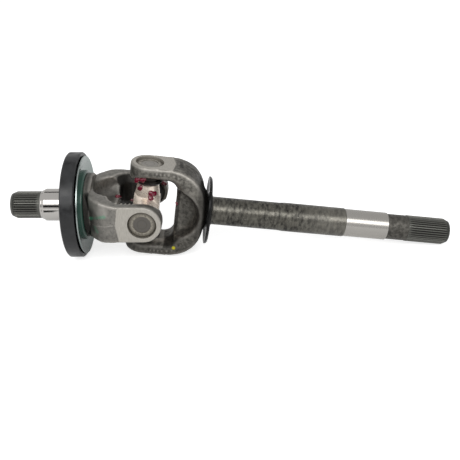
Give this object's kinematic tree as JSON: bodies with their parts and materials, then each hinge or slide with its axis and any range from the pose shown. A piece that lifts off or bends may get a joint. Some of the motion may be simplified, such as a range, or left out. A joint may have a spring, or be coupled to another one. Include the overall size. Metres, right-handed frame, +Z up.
{
  "type": "axle shaft",
  "caption": "Steering axle shaft: a splined hub shaft with a wide hub seal and a long splined inner shaft, joined by forged yokes, a cross and needle bearing caps.",
  "frame": {"origin": "centre of the hub seal's rim, on the axis of the hub end shaft", "axes": "+X along the hub end shaft towards the universal joint, +Z up as the part lies on a floor, Y along the hub end yoke's pins"},
  "size_m": [0.6292, 0.148, 0.148],
  "materials": {
    "forged_steel": "forged scale with ground journals and milled pads",
    "ground_steel": "ground bright",
    "bearing_steel": "satin, lightly oiled",
    "spring_steel": "dark, oiled",
    "zinc_plated_steel": "bright zinc",
    "green_coated_steel": "glossy green coat",
    "black_painted_steel": "satin black",
    "black_rubber": "satin",
    "nylon": "moulded"
  },
  "bodies": {
    "inner_axle": {"inner_shaft": "forged_steel", "slinger": "black_painted_steel", "upper_cap": "bearing_steel", "upper_clip": "spring_steel", "upper_cap_seal": "black_rubber", "upper_thrust_washer": "nylon", "lower_cap": "bearing_steel", "lower_clip": "spring_steel", "lower_cap_seal": "black_rubber", "lower_thrust_washer": "nylon"},
    "cross": {"cross": "ground_steel"},
    "hub_axle": {"stub_shaft": "forged_steel", "drive_collar": "green_coated_steel", "seal_sleeve": "zinc_plated_steel", "front_cap": "bearing_steel", "front_clip": "spring_steel", "front_cap_seal": "black_rubber", "front_thrust_washer": "nylon", "rear_cap": "bearing_steel", "rear_clip": "spring_steel", "rear_cap_seal": "black_rubber", "rear_thrust_washer": "nylon"},
    "seal_ring": {"seal_case": "black_rubber", "garter_spring": "spring_steel"},
    "inner_needles": {"upper_needles": "bearing_steel", "lower_needles": "bearing_steel"},
    "hub_needles": {"front_needles": "bearing_steel", "rear_needles": "bearing_steel"}
  },
  "joints": [
    {"name": "inner_pivot", "type": "hinge", "parent": "inner_axle", "child": "cross", "pos_m": [0.0974, 0, 0], "axis": [0.1268, 0, 0.9919], "range_deg": [-37.3, 42.7]},
    {"name": "hub_pivot", "type": "hinge", "parent": "cross", "child": "hub_axle", "pos_m": [0.0974, 0, 0], "axis": [0, 1, 0], "range_deg": [-32.72, 47.28]},
    {"name": "seal_spin", "type": "hinge", "parent": "hub_axle", "child": "seal_ring", "pos_m": [0, 0, 0], "axis": [1, 0, 0], "continuous": true},
    {"name": "inner_needle_roll", "type": "hinge", "parent": "inner_axle", "child": "inner_needles", "pos_m": [0.0974, 0, 0], "axis": [0.1268, 0, 0.9919], "range_deg": [-17.17, 19.59]},
    {"name": "hub_needle_roll", "type": "hinge", "parent": "cross", "child": "hub_needles", "pos_m": [0.0974, 0, 0], "axis": [0, 1, 0], "range_deg": [-18.59, 26.65]}
  ],
  "couplings": [
    {"joint": "inner_needle_roll", "follows": "inner_pivot", "ratio": 0.447},
    {"joint": "hub_needle_roll", "follows": "hub_pivot", "ratio": 0.553}
  ]
}
